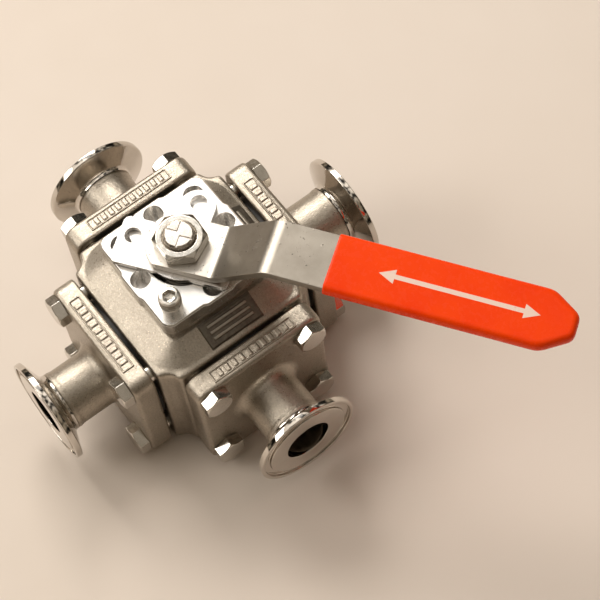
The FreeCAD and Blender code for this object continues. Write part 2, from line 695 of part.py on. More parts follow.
def stem():
    body = revolved_z("stem", [
        ("0", "stem_collar_low"), ("stem_collar_r", "stem_collar_low"), ("stem_collar_r", "stem_collar_high"),
        ("shaft_r", "stem_collar_high"), ("shaft_r", "flat_high"), ("thread_r", "flat_high"),
        ("thread_r", "stem_high - stem_bevel"), ("thread_r - stem_bevel", "stem_high"), ("0", "stem_high"),
    ])
    tang = sketch(body, "tang", lift="tang_low")
    rectangle(tang, "-tang_reach", "-tang_half", "tang_reach", "tang_half")
    pad(tang, "stem_collar_high - tang_low")
    flats = sketch(body, "flats", lift="stop_low")
    for sign in ("", "-"):
        outer = f"{sign}(shaft_r + overrun)"
        rectangle(flats, "-thread_r - shaft_r", f"{sign}flat_half", "thread_r + shaft_r", outer)
    pocket(flats, "flat_high - stop_low", away=True)
    marks = sketch(body, "marks", lift="stem_high")
    for sign in ("", "-"):
        inner = f"{sign}(mark_in - mark_half)"
        outer = f"{sign}(mark_in + mark_half)"
        rim = f"{sign}thread_r"
        opposite = "-" if not sign else ""
        far_inner = f"{opposite}(mark_in - mark_half)"
        far_outer = f"{opposite}(mark_in + mark_half)"
        far_rim = f"{opposite}thread_r"
        outline(marks, [(inner, far_rim), (outer, far_rim), (outer, far_outer),
                        (rim, far_outer), (rim, far_inner), (inner, far_inner)])
    pocket(marks, "mark_deep")
    return body


def ball():
    """Ball with two separate elbow passages and a drive slot."""
    result = primitive("Sphere", "ball_sphere", AT_PORTS, Radius="ball_r")
    for name, across, up in (("front", "ball_r", "-ball_r"), ("back", "-ball_r", "ball_r")):
        elbow = primitive("Torus", f"ball_{name}_passage", (across, up, "port_height"),
                          Radius1="ball_r", Radius2="passage_r")
        result = combine("Cut", f"ball_{name}_cut", result, elbow)
    slot = slab("ball_slot", ("-ball_r", "-slot_half", "slot_low"), ("2 * ball_r", "2 * slot_half", "ball_r"))
    return combine("Cut", "ball_slotted", result, slot)


def packing_rings():
    rings = []
    inner = "shaft_r + shaft_gap"
    outer = "packing_r - hole_gap"
    middle = f"({inner} + {outer}) / 2"
    for index in PACKING_RINGS:
        low = f"packing_low + {index} * packing_t"
        high = f"{low} + packing_t"
        rings.append(revolved_z(f"packing_ring_{index}", [
            (inner, low), (middle, f"{low} + packing_cone"), (outer, low),
            (outer, high), (middle, f"{high} + packing_cone"), (inner, high),
        ]))
    return group("Compound", "packing_rings", rings)


def gland_ring():
    return revolved_z("gland_ring", [
        ("shaft_r + shaft_gap", "gland_low"), ("packing_r - hole_gap", "gland_low"),
        ("packing_r - hole_gap", "well_low + hole_gap"), ("gland_flange_r", "well_low + hole_gap"),
        ("gland_flange_r", "gland_high"), ("shaft_r + shaft_gap", "gland_high"),
    ])


def disc_springs():
    inner = "shaft_r + hole_gap"
    upper = "spring_low + spring_cone + spring_t"
    lower_spring = revolved_z("lower_spring", [
        (inner, "spring_low + spring_cone"), ("spring_r", "spring_low"),
        ("spring_r", "spring_low + spring_t"), (inner, upper),
    ])
    upper_spring = revolved_z("upper_spring", [
        (inner, upper), ("spring_r", f"{upper} + spring_cone"),
        ("spring_r", f"{upper} + spring_cone + spring_t"), (inner, f"{upper} + spring_t"),
    ])
    return group("Compound", "disc_springs", [lower_spring, upper_spring])


def thrust_washer():
    return revolved_z("thrust_washer", [
        ("shaft_r + shaft_gap", "thrust_low"), ("stem_collar_r", "thrust_low"),
        ("stem_collar_r", "shoulder_z"), ("shaft_r + shaft_gap", "shoulder_z"),
    ])


# Lever parts


def stop_plate():
    body = new_body("stop_plate")
    for name, shape in (
        ("heel", ("-stop_heel", "-stop_edge", "0", "heel_top")),
        ("toe", ("0", "-stop_edge", "stop_toe", "0")),
        ("lobe", ("-lobe_half", "0", "lobe_half", "lobe_at")),
    ):
        pad(rectangle(sketch(body, name, lift="stop_low"), *shape), "stop_t")
    fillet(body, "stop_corner", lambda edge: upright(edge)
           and (near(edge.BoundBox.XMin, "-stop_heel") or near(edge.BoundBox.XMin, "stop_toe")))
    pad(ring(sketch(body, "hub", lift="stop_low"), "0", "0", "stop_hub_r"), "stop_t")
    pad(ring(sketch(body, "lobe_end", lift="stop_low"), "0", "lobe_at", "lobe_half"), "stop_t")
    holes = sketch(body, "lock_holes", lift="stop_low")
    ring(holes, "0", "lock_hole_at", "lock_hole_r")
    ring(holes, "-lock_hole_at", "0", "lock_hole_r")
    pocket(holes, "stop_t", away=True)
    return combine("Cut", "stop_plate_cut", body, flatted_hole("stop_plate_hole", "stop_low", "stop_t"))


def lever_strip():
    """Bent strip, drawn as its side view and extruded to its full head width."""
    rise = "(far_z - strip_z)"
    run = "(second_bend - first_bend)"
    ramp = f"atan({rise} / {run})"
    mitre = f"(1 + cos({ramp} + droop * 1 deg))"
    end_x = "(second_bend + far_run * cos(droop))"
    end_z = "(far_z - far_run * sin(droop))"
    body = new_body("lever")
    outline(sketch(body, "side", "XZ_Plane"), [
        ("-head_r", "strip_z"), ("first_bend", "strip_z"), ("second_bend", "far_z"), (end_x, end_z),
        (f"{end_x} - strip_t * sin(droop)", f"{end_z} - strip_t * cos(droop)"),
        (f"second_bend + strip_t * (sin({ramp}) - sin(droop)) / {mitre}",
         f"far_z - strip_t * (cos({ramp}) + cos(droop)) / {mitre}"),
        (f"first_bend + strip_t * tan({ramp} / 2)", "strip_z - strip_t"),
        ("-head_r", "strip_z - strip_t"),
    ])
    pad(body.Group[-1], "2 * strip_half", both=True)
    fillet(body, "bend_outer", lambda edge: is_bend(edge, "second_bend", "far_z")
           or is_bend(edge, f"first_bend + strip_t * tan({ramp} / 2)", "strip_z - strip_t"))
    fillet(body, "bend_inner", lambda edge: is_bend(edge, "first_bend", "strip_z")
           or is_bend(edge, f"second_bend + strip_t * (sin({ramp}) - sin(droop)) / {mitre}",
                      f"far_z - strip_t * (cos({ramp}) + cos(droop)) / {mitre}"))
    return body


def is_bend(edge, across, up):
    box = edge.BoundBox
    return facing(edge, across) and near(box.ZMin, up) and near(box.ZMax, up)


def lever(strip):
    """Trim the strip to a round head and a narrowed tip, and cut the stem hole."""
    plan = new_body("lever_plan")
    pad(ring(sketch(plan, "head"), "0", "0", "head_r"), "2 * far_z")
    pad(outline(sketch(plan, "shank"), [
        ("0", "-strip_half"), ("second_bend + nose_start", "-strip_half"),
        ("second_bend + far_run", "-strip_tip_half"), ("second_bend + far_run", "strip_tip_half"),
        ("second_bend + nose_start", "strip_half"), ("0", "strip_half"),
    ]), "2 * far_z")
    trimmed = combine("Common", "lever_trimmed", strip, plan)
    return combine("Cut", "lever_cut", trimmed, flatted_hole("lever_hole", "strip_z - strip_t", "strip_t"))


def grip_sleeve():
    """Dipped sleeve with a tapered nose, drawn along the strip's far run."""
    body = new_body("grip_sleeve")
    nose = "(grip_end - grip_nose_run)"
    outline(sketch(body, "plan", lift="-(strip_t + grip_wall)"), [
        ("grip_start", "-grip_half"), (nose, "-grip_half"), ("grip_end", "-grip_nose_half"),
        ("grip_end", "grip_nose_half"), (nose, "grip_half"), ("grip_start", "grip_half"),
    ])
    pad(body.Group[-1], "strip_t + 2 * grip_wall")
    fillet(body, "grip_nose_round", lambda edge: upright(edge) and near(edge.BoundBox.XMin, nose))
    fillet(body, "grip_tip_round", lambda edge: upright(edge) and near(edge.BoundBox.XMin, "grip_end"))
    fillet(body, "grip_round", lambda edge: not facing(edge, "grip_start")
           and (level(edge, "grip_wall") or level(edge, "-(strip_t + grip_wall)")))
    mouth = "grip_start - overrun"
    shoulder = "nose_start + grip_tip_gap"
    tip = "far_run + grip_tip_gap"
    wide = "(strip_half + grip_gap)"
    narrow = "(strip_tip_half + grip_gap)"
    hollow = outline(sketch(body, "hollow", lift="grip_gap"), [
        (mouth, f"-{wide}"), (shoulder, f"-{wide}"), (tip, f"-{narrow}"),
        (tip, narrow), (shoulder, wide), (mouth, wide),
    ])
    pocket(hollow, "strip_t + 2 * grip_gap")
    tilt = FreeCAD.Rotation(FreeCAD.Vector(0, 1, 0), value("droop"))
    body.Placement = FreeCAD.Placement(FreeCAD.Vector(), tilt)
    bind(body, Placement__Base__x="second_bend", Placement__Base__z="far_z")
    bind(body, Placement__Rotation__Angle="droop")
    return group("Compound", "grip_sleeve_placed", [body])


def stop_screw():
    body = revolved_z("stop_screw", [
        ("0", "screw_tip"), ("screw_shank_r", "screw_tip"), ("screw_shank_r", "stop_sleeve_high"),
        ("screw_r", "stop_sleeve_high"), ("screw_r", "screw_high - screw_bevel"),
        ("screw_r - screw_bevel", "screw_high"), ("0", "screw_high"),
    ])
    pocket(outline(sketch(body, "socket", lift="screw_high"), hex_corners("socket_af")), "socket_deep")
    return body


def stop_sleeve():
    inner = "screw_shank_r + hole_gap"
    return revolved_z("stop_sleeve", [
        (inner, "pad_high"), ("stop_sleeve_r", "pad_high"),
        ("stop_sleeve_r", "stop_sleeve_high - stop_sleeve_bevel"),
        ("stop_sleeve_r - stop_sleeve_bevel", "stop_sleeve_high"), (inner, "stop_sleeve_high"),
    ])


# Assembly

keep(valve_body(), "valve_body")
for side, turn in SIDES:
    keep(end_cap(side), "end_cap_" + side, turn, AT_PORTS)
    keep(body_gasket(side), "body_gasket_" + side, turn, AT_PORTS)
    keep(seat_ring(side), "seat_ring_" + side, turn, AT_PORTS)
    keep(cap_bolts(side), "cap_bolts_" + side, turn, AT_PORTS)
keep(ball(), "ball", TURNED)
keep(stem(), "stem", TURNED)
keep(thrust_washer(), "thrust_washer")
keep(packing_rings(), "packing_rings")
keep(gland_ring(), "gland_ring")
keep(disc_springs(), "disc_springs", TURNED)
gland_nut = bored_nut("gland_nut", "gland_nut_af", "gland_nut_low", "gland_nut_t", "shaft_r + hole_gap")
keep(gland_nut, "gland_nut", TURNED)
keep(stop_plate(), "stop_plate", TURNED)
keep(lever(lever_strip()), "lever", TURNED)
keep(grip_sleeve(), "grip_sleeve", TURNED)
lever_nut = bored_nut("lever_nut", "nut_af", "strip_z", "nut_t", "thread_r + hole_gap")
keep(lever_nut, "lever_nut", "lever_angle + nut_turn")
keep(stop_screw(), "stop_screw", at=AT_STOP)
keep(stop_sleeve(), "stop_sleeve", at=AT_STOP)

# Check and write

doc.recompute()
for thing in doc.Objects:
    if {"Invalid", "Error"} & set(thing.State):
        raise RuntimeError(f"{thing.Name} failed: {thing.State}")
os.makedirs("parts", exist_ok=True)
for piece in pieces:
    shape = piece.Shape
    if shape.isNull() or not shape.isValid():
        raise RuntimeError(f"{piece.Label} has no valid shape")
    shape.exportStep(f"parts/{piece.Label}.step")
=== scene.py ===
import json
import math

import bmesh
import bpy
from mathutils import Matrix, Vector


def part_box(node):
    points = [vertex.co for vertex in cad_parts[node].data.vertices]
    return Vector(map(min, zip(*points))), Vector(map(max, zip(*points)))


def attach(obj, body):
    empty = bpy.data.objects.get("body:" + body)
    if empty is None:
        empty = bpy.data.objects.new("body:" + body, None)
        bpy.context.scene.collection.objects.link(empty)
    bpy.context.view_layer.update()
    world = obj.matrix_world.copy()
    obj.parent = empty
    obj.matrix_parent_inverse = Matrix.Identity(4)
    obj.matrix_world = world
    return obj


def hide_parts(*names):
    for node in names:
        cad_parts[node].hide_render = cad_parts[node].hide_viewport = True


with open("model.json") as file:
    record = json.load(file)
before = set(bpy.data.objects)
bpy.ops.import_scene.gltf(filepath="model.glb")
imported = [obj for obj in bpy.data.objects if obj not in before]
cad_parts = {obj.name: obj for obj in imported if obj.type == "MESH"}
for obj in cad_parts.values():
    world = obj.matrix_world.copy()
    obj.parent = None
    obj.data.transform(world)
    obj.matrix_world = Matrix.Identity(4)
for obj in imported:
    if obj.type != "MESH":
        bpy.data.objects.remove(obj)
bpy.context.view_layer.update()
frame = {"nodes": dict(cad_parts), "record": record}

NODES = frame["nodes"]
SLOT_OF = {part["node"]: part["material_slot"] for part in frame["record"]["subparts"]}

# Places on the CAD, in metres; turned profiles and the arrow are in millimetres

MM = 0.001
PORT_HEIGHT = 0.036
CROWN_FOOT = (0.0382, 0.0, 0.0693)
CROWN_SLOPE = math.radians(28)
SLOPE_NORMAL = (math.sin(CROWN_SLOPE), 0.0, math.cos(CROWN_SLOPE))
PAD_LOW = 0.0835
CAP_TOP = 0.0695
STOP_SCREW_AT = (0.0196, -0.0196, 0)
LEVER_ANGLE = math.radians(36)
LEVER_DROOP = math.radians(2.6)
SECOND_BEND = (0.0428, 0, 0.1173)


# Node material helpers


class Shader:
    """A material being built: nodes are added by type and joined by their sockets."""

    def __init__(self, name):
        self.material = bpy.data.materials.new(name)
        self.material.use_nodes = True
        self.nodes = self.material.node_tree.nodes
        self.links = self.material.node_tree.links
        self.surface = self.nodes["Principled BSDF"]
        self.place = self.add("TexCoord").outputs["Object"]

    def add(self, kind, inputs=None, **settings):
        node = self.nodes.new("ShaderNode" + kind)
        for name, value in settings.items():
            setattr(node, name, value)
        for name, value in (inputs or {}).items():
            self.feed(node.inputs[name], value)
        return node

    def feed(self, socket, value):
        if isinstance(value, bpy.types.NodeSocket):
            self.links.new(value, socket)
        else:
            socket.default_value = value

    def noise(self, scale, detail=3.0, roughness=0.55, place=None):
        inputs = {"Vector": place or self.place, "Scale": scale, "Detail": detail, "Roughness": roughness}
        return self.add("TexNoise", inputs).outputs["Fac"]

    def stretched(self, scale):
        return self.add("Mapping", {"Vector": self.place, "Scale": scale}).outputs["Vector"]

    def rings(self, axis, centre):
        """Coordinates that change only with distance from an axis and, slowly, along it."""
        moved = self.add("Mapping", {"Vector": self.place, "Location": [-value for value in centre]})
        parts = self.add("SeparateXYZ", {"Vector": moved.outputs["Vector"]}).outputs
        across = [parts[index] for index in range(3) if index != axis]
        squares = [self.math("MULTIPLY", part, part) for part in across]
        radius = self.math("SQRT", self.math("ADD", *squares))
        along = parts[axis]
        return self.add("CombineXYZ", {"X": radius, "Y": along, "Z": 0.0}).outputs["Vector"]

    def remap(self, value, low, high, to_low=0.0, to_high=1.0):
        inputs = {"Value": value, "From Min": low, "From Max": high, "To Min": to_low, "To Max": to_high}
        return self.add("MapRange", inputs).outputs["Result"]

    def math(self, operation, first, second=0.0):
        return self.add("Math", {0: first, 1: second}, operation=operation).outputs[0]

    def mix(self, factor, first, second):
        node = self.add("Mix", data_type="RGBA")
        sockets = {item.identifier: item for item in node.inputs}
        self.feed(sockets["Factor_Float"], factor)
        self.feed(sockets["A_Color"], first)
        self.feed(sockets["B_Color"], second)
        return next(item for item in node.outputs if item.identifier == "Result_Color")

    def bump(self, height, strength, distance, normal=None):
        inputs = {"Height": height, "Strength": strength, "Distance": distance}
        if normal:
            inputs["Normal"] = normal
        return self.add("Bump", inputs).outputs["Normal"]

    def finish(self, color, roughness, normal, **constants):
        self.feed(self.surface.inputs["Base Color"], color)
        self.feed(self.surface.inputs["Roughness"], roughness)
        if normal:
            self.feed(self.surface.inputs["Normal"], normal)
        for name, value in constants.items():
            self.surface.inputs[name.replace("_", " ")].default_value = value
        return self.material


def shade(red, green, blue):
    return (red, green, blue, 1.0)


# Materials


def cast_stainless(name, wear):
    """Blasted investment casting: warm grey and grainy, rubbed bright on edges, with painted shade darkening
    its hollows.
    """
    s = Shader(name)
    curve = s.add("NewGeometry").outputs["Pointiness"]
    stain = s.remap(s.noise(38, 5, 0.6), 0.35, 0.7)
    mottle = s.remap(s.noise(1100, 4, 0.7), 0.35, 0.65)
    color = s.mix(stain, shade(0.53, 0.475, 0.40), shade(0.42, 0.37, 0.31))
    color = s.mix(s.math("MULTIPLY", mottle, 0.48), color, shade(0.24, 0.215, 0.18))
    # Painted shade: hollows, found by the mesh's pointiness, are darkened towards near black
    color = s.mix(s.remap(curve, 0.5, 0.44, 0.0, 0.65), color, shade(0.12, 0.105, 0.09))
    color = s.mix(s.remap(curve, 0.52, 0.60, 0.0, wear), color, shade(0.66, 0.62, 0.56))
    roughness = s.remap(s.noise(1300, 3, 0.6), 0.35, 0.65, 0.27, 0.44)
    grain = s.bump(s.noise(2600, 2, 0.6), 0.7, 0.00018)
    normal = s.bump(s.noise(900, 3, 0.5), 0.5, 0.0002, grain)
    return s.finish(color, roughness, normal, Metallic=1.0)


def nameplate():
    """The same casting on a raised nameplate: its field is darkened as painted shade, and the bars' tops are
    lightened as a painted highlight.
    """
    s = Shader("nameplate")
    above = s.add("Mapping", {"Vector": s.place, "Location": [-value for value in CROWN_FOOT]})
    height = s.add("VectorMath", {0: above.outputs["Vector"], 1: SLOPE_NORMAL}, operation="DOT_PRODUCT")
    top = s.remap(height.outputs["Value"], 0.00078, 0.00105)
    blotches = s.remap(s.noise(420, 4, 0.65), 0.3, 0.7)
    # Painted shade: the field between the bars is made dark, in random blotches
    shaded_field = s.mix(blotches, shade(0.13, 0.115, 0.095), shade(0.22, 0.195, 0.162))
    # Painted highlight: the bars' tops, found by their height above the slope, are made light
    color = s.mix(top, shaded_field, s.mix(blotches, shade(0.62, 0.57, 0.50), shade(0.46, 0.42, 0.36)))
    roughness = s.remap(s.noise(150, 4), 0.3, 0.7, 0.32, 0.46)
    return s.finish(color, roughness, s.bump(s.noise(2200, 3, 0.6), 0.5, 0.0002), Metallic=1.0)


def polished(name, axis, centre, low=0.04, high=0.12):
    """Turned stainless, a mirror unless made rougher, with concentric tool lines about one axis."""
    s = Shader(name)
    lines = s.noise(5200, 2, 0.6, place=s.rings(axis, centre))
    cloud = s.remap(s.noise(70, 4), 0.35, 0.7)
    color = s.mix(cloud, shade(0.64, 0.60, 0.55), shade(0.55, 0.51, 0.46))
    roughness = s.remap(s.noise(220, 4, 0.6), 0.35, 0.7, low, high)
    return s.finish(color, roughness, s.bump(lines, 0.10, 0.00002), Metallic=1.0)


def drawn(name, light, dark, stretch, low, high):
    """Milled, turned or drawn stainless with fine lines, which may run in one direction."""
    s = Shader(name)
    marks = s.noise(1.0, 3, 0.65, place=s.stretched(stretch))
    cloud = s.remap(s.noise(85, 5, 0.6), 0.32, 0.72)
    color = s.mix(cloud, light, dark)
    roughness = s.remap(marks, 0.3, 0.7, low, high)
    return s.finish(color, roughness, s.bump(marks, 0.16, 0.00003), Metallic=1.0)


def lever_strip():
    """Tumbled strip stainless: bright at the head, darkened past the first bend as painted shade, with small
    pits.
    """
    s = Shader("strip_stainless")
    reach = s.add("VectorMath", {0: s.stretched((1, 1, 0))}, operation="LENGTH").outputs["Value"]
    cloud = s.remap(s.noise(85, 5, 0.6), 0.32, 0.72)
    bright = s.mix(cloud, shade(0.66, 0.625, 0.575), shade(0.56, 0.52, 0.47))
    # Painted shade: past the first bend, on the rising part and beyond, the strip's colour is made darker
    shaded_past_bend = s.mix(cloud, shade(0.37, 0.338, 0.295), shade(0.29, 0.262, 0.225))
    color = s.mix(s.remap(reach, 0.016, 0.025), bright, shaded_past_bend)
    pit = s.math("MULTIPLY", s.remap(s.noise(620, 2, 0.5), 0.66, 0.70), s.remap(s.noise(60, 3), 0.40, 0.52))
    color = s.mix(s.math("MULTIPLY", pit, 0.85), color, shade(0.10, 0.09, 0.08))
    marks = s.noise(900, 3, 0.65)
    dents = s.bump(pit, 0.6, 0.00015, s.bump(marks, 0.16, 0.00003))
    return s.finish(color, s.remap(marks, 0.3, 0.7, 0.31, 0.41), dents, Metallic=1.0)


def dipped_vinyl():
    """Glossy orange-red dipped vinyl with slow waves, faint clouds and hairline scuffs."""
    s = Shader("dipped_vinyl")
    cloud = s.remap(s.noise(45, 4), 0.3, 0.75)
    color = s.mix(cloud, shade(1.0, 0.066, 0.001), shade(0.93, 0.046, 0.001))
    scuff = s.remap(s.noise(1.0, 6, 0.7, place=s.stretched((900, 90, 300))), 0.64, 0.80)
    color = s.mix(s.math("MULTIPLY", scuff, 0.12), color, shade(0.95, 0.22, 0.10))
    roughness = s.remap(s.noise(420, 3), 0.3, 0.7, 0.20, 0.32)
    fine = s.bump(s.noise(1500, 2, 0.5), 0.06, 0.00008)
    normal = s.bump(s.noise(110, 2, 0.4), 0.16, 0.0006, fine)
    return s.finish(color, roughness, normal, Specular_IOR_Level=0.16)


def fluoropolymer():
    """White seat plastic, faintly clouded."""
    s = Shader("fluoropolymer")
    color = s.mix(s.remap(s.noise(90, 4), 0.3, 0.7), shade(0.86, 0.85, 0.82), shade(0.74, 0.73, 0.70))
    return s.finish(color, s.remap(s.noise(300), 0.3, 0.7, 0.35, 0.5), s.bump(s.noise(900, 3), 0.15, 0.0001))


def black_rubber():
    """Matt black gasket rubber."""
    s = Shader("black_rubber")
    color = s.mix(s.remap(s.noise(120, 4), 0.3, 0.7), shade(0.020, 0.019, 0.018), shade(0.045, 0.042, 0.040))
    return s.finish(color, s.remap(s.noise(300), 0.3, 0.7, 0.55, 0.7), s.bump(s.noise(900, 3), 0.2, 0.0001))


def printed_white():
    """Warm white print, rubbed through to the vinyl in specks."""
    s = Shader("printed_white")
    worn = s.remap(s.noise(800, 4, 0.7), 0.62, 0.72)
    color = s.mix(s.math("MULTIPLY", worn, 0.5), shade(0.86, 0.66, 0.56), shade(0.95, 0.25, 0.12))
    return s.finish(color, s.remap(s.noise(400), 0.3, 0.7, 0.35, 0.5), s.bump(s.noise(1500, 2), 0.1, 0.00005))


CAST = cast_stainless("cast_stainless", 0.4)
NAMEPLATE = nameplate()
MARKS = cast_stainless("cast_marks", 0.05)
FERRULE = polished("polished_ferrule", 0, (0, 0, PORT_HEIGHT))
TURNED = polished("turned_stainless", 2, (0, 0, 0), 0.22, 0.32)
BOLT = drawn("bolt_stainless", shade(0.70, 0.67, 0.62), shade(0.56, 0.53, 0.48), (500, 500, 500), 0.14, 0.24)
PLATE = drawn(
    "plate_stainless", shade(0.80, 0.78, 0.76), shade(0.72, 0.70, 0.68), (2600, 120, 400), 0.22, 0.28)
PAD = drawn("milled_pad", shade(0.80, 0.78, 0.75), shade(0.72, 0.70, 0.67), (160, 2400, 400), 0.22, 0.28)
STRIP = lever_strip()
SPRING = drawn("spring_steel", shade(0.45, 0.44, 0.42), shade(0.33, 0.32, 0.31), (900, 900, 900), 0.25, 0.4)
RUBBER = black_rubber()
VINYL = dipped_vinyl()
INK = printed_white()
POLYMER = fluoropolymer()

FINISHES = {
    "cast_stainless": CAST, "machined_stainless": TURNED, "bolt_stainless": BOLT, "plate_stainless": PLATE,
    "strip_stainless": STRIP, "sleeve": VINYL, "seat_plastic": POLYMER, "spring_steel": SPRING,
    "gasket_rubber": RUBBER,
}
for name, node in NODES.items():
    node.data.materials.clear()
    node.data.materials.append(FINISHES[SLOT_OF[name]])


# Mesh helpers


def link(name, mesh):
    """A new object in the scene that holds a mesh."""
    piece = bpy.data.objects.new(name, mesh)
    bpy.context.scene.collection.objects.link(piece)
    return piece


def built(name, work):
    """A new piece from a bmesh, which is freed."""
    mesh = bpy.data.meshes.new(name)
    work.to_mesh(mesh)
    work.free()
    return link(name, mesh)


def finished(piece):
    """Turn the modifiers into the piece's own mesh."""
    bpy.context.view_layer.update()
    graph = bpy.context.evaluated_depsgraph_get()
    mesh = bpy.data.meshes.new_from_object(piece.evaluated_get(graph))
    piece.modifiers.clear()
    piece.data = mesh
    return piece


def smooth(piece, degrees):
    """Shade smooth, except at edges sharper than an angle."""
    mesh = piece.data
    mesh.polygons.foreach_set("use_smooth", [True] * len(mesh.polygons))
    mesh.set_sharp_from_angle(angle=math.radians(degrees))
    return piece


def copy_of(node, name):
    """A CAD node's mesh as a new piece, with its split vertices merged and its own normals."""
    work = bmesh.new()
    work.from_mesh(NODES[node].data)
    bmesh.ops.remove_doubles(work, verts=work.verts, dist=1e-6)
    piece = built(name, work)
    attributes = piece.data.attributes
    if "custom_normal" in attributes:
        attributes.remove(attributes["custom_normal"])
    return piece


def cut(piece, operation, low, high, turn=Matrix.Identity(4)):
    """Keep ("INTERSECT") or remove ("DIFFERENCE") what lies in a box, which may be turned."""
    low, high = Vector(low), Vector(high)
    work = bmesh.new()
    matrix = turn @ Matrix.Translation((low + high) / 2) @ Matrix.Diagonal((*(high - low), 1))
    bmesh.ops.create_cube(work, size=1, matrix=matrix)
    cutter = built("cutter", work)
    boolean = piece.modifiers.new("cut", "BOOLEAN")
    boolean.operation = operation
    boolean.solver = "EXACT"
    boolean.object = cutter
    finished(piece)
    bpy.data.objects.remove(cutter)
    return piece


def soften(piece, voxel, rounds, keep, wave=0.0, size=0.006):
    """Turn crisp CAD edges into soft ones, and dent the surface inwards by up to one wave."""
    remesh = piece.modifiers.new("remesh", "REMESH")
    remesh.mode = "VOXEL"
    remesh.voxel_size = voxel
    relax = piece.modifiers.new("relax", "SMOOTH")
    relax.factor = 0.5
    relax.iterations = rounds
    if wave:
        clouds = bpy.data.textures.new("waves", "CLOUDS")
        clouds.noise_scale = size
        dents = piece.modifiers.new("dents", "DISPLACE")
        dents.texture = clouds
        dents.texture_coords = "LOCAL"
        dents.mid_level = 1.0
        dents.strength = wave
    thin = piece.modifiers.new("thin", "DECIMATE")
    thin.ratio = keep
    finished(piece)
    return smooth(piece, 180)


def weigh(piece):
    """Let the large faces set the shading, so that flat and straight ones stay so beside small bevels."""
    modifier = piece.modifiers.new("weigh", "WEIGHTED_NORMAL")
    modifier.weight = 100
    modifier.keep_sharp = True
    return finished(piece)


def whole_faces(piece):
    """A piece's mesh as a bmesh, with the triangles of each flat face joined."""
    work = bmesh.new()
    work.from_mesh(piece.data)
    bmesh.ops.dissolve_limit(work, angle_limit=math.radians(1.0), verts=work.verts, edges=work.edges)
    return work


def bevelled(piece, width):
    """Break a crisp piece's edges with a small round bevel, and keep its flat faces flat."""
    work = whole_faces(piece)
    work.to_mesh(piece.data)
    work.free()
    smooth(piece, 180)
    bevel = piece.modifiers.new("bevel", "BEVEL")
    bevel.width = width
    bevel.segments = 2
    bevel.limit_method = "ANGLE"
    bevel.angle_limit = math.radians(28)
    bevel.use_clamp_overlap = False
    return weigh(piece)


def lathe(name, rings, count, hollow=False):
    """Closed skin through rings of (height, radius) in mm. A radius may depend on the angle.

    A hollow skin joins its last ring to its first, and any other one is capped at both ends.
    """
    work = bmesh.new()
    loops = []
    for height, radius in rings:
        loop = []
        for index in range(count):
            angle = 2 * math.pi * index / count
            reach = (radius(angle) if callable(radius) else radius) * MM
            loop.append(work.verts.new((reach * math.cos(angle), reach * math.sin(angle), height * MM)))
        loops.append(loop)
    for lower, upper in zip(loops, loops[1:] + (loops[:1] if hollow else [])):
        for index in range(count):
            after = (index + 1) % count
            work.faces.new((lower[index], lower[after], upper[after], upper[index]))
    if not hollow:
        work.faces.new(loops[0])
        work.faces.new(loops[-1])
    bmesh.ops.recalc_face_normals(work, faces=work.faces)
    return built(name, work)


def dress(piece, body, material, slot, *nodes):
    """Give a piece its material and body, and hide the CAD nodes that it stands for. The slot is not used."""
    piece.data.materials.clear()
    piece.data.materials.append(material)
    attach(piece, body)
    if nodes:
        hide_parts(*nodes)
    return piece


# Cast body, its raised nameplates and its machined pad

PAD_BOX = ((-0.05, -0.05, PAD_LOW), (0.05, 0.05, 0.1))
SLOPE = Matrix.Translation(CROWN_FOOT) @ Matrix.Rotation(CROWN_SLOPE, 4, "Y")
QUARTER = Matrix.Rotation(math.pi / 2, 4, "Z")
PLATE_LOW, PLATE_HIGH = (-0.0135, -0.0140), (-0.0002, 0.0140, 0.0025)
PLATE_ROOT, SLOPE_SKIN = -0.0002, 0.00002

pad = cut(copy_of("valve_body", "actuator_pad"), "INTERSECT", *PAD_BOX)
dress(bevelled(pad, 0.00015), "valve", PAD, "cast_stainless", "valve_body")
casting = cut(copy_of("valve_body", "body_casting"), "DIFFERENCE", *PAD_BOX)
plate = cut(copy_of("valve_body", "nameplate_px"), "INTERSECT", (*PLATE_LOW, PLATE_ROOT), PLATE_HIGH, SLOPE)
second_plate = link("nameplate_py", soften(plate, 0.0002, 4, 0.5).data)
second_plate.matrix_world = QUARTER
for piece, frame_of_plate in ((plate, SLOPE), (second_plate, QUARTER @ SLOPE)):
    dress(piece, "valve", NAMEPLATE, "cast_stainless", "valve_body")
    cut(casting, "DIFFERENCE", (*PLATE_LOW, SLOPE_SKIN), PLATE_HIGH, frame_of_plate)
dress(soften(casting, 0.0005, 14, 0.35, 0.00012), "valve", CAST, "cast_stainless", "valve_body")

# End caps: soft casting behind with raised marks on top, and a mirror-turned ferrule in front

NECK_END = 76.5
ROOT_AT, ROOT_UP, ROOT_RADIUS = 76.894, 16.4, 2
ROOT_ARC = [
    (ROOT_AT + ROOT_RADIUS * math.sin(math.radians(angle)),
     ROOT_UP - ROOT_RADIUS * math.cos(math.radians(angle)))
    for angle in (0, 14, 28, 42, 56, 70)
]
FERRULE_PROFILE = [
    (NECK_END, 11.05), (NECK_END, 14.4), *ROOT_ARC, (81.95, 24.55), (82.15, 25.0), (82.5, 25.25),
    (84.6, 25.25), (84.85, 25.15), (85.0, 24.85), (85.0, 23.75), (84.9, 23.5), (84.65, 23.4), (83.9, 23.4),
    (83.6, 23.25), (83.5, 22.9), (83.5, 20.7), (83.6, 20.35), (83.9, 20.2), (84.65, 20.2), (84.9, 20.1),
    (85.0, 19.85), (85.0, 11.4), (84.9, 11.15), (84.65, 11.05),
]
BEYOND_NECK = ((NECK_END * MM, -0.05, -0.05), (0.1, 0.05, 0.1))
CAP_EDGE = ((0.040, -0.025, CAP_TOP), (0.060, 0.025, 0.075))
MARK_STRIP = ((0.0450, -0.0221, CAP_TOP - 0.0003), (0.0512, 0.0221, 0.075))

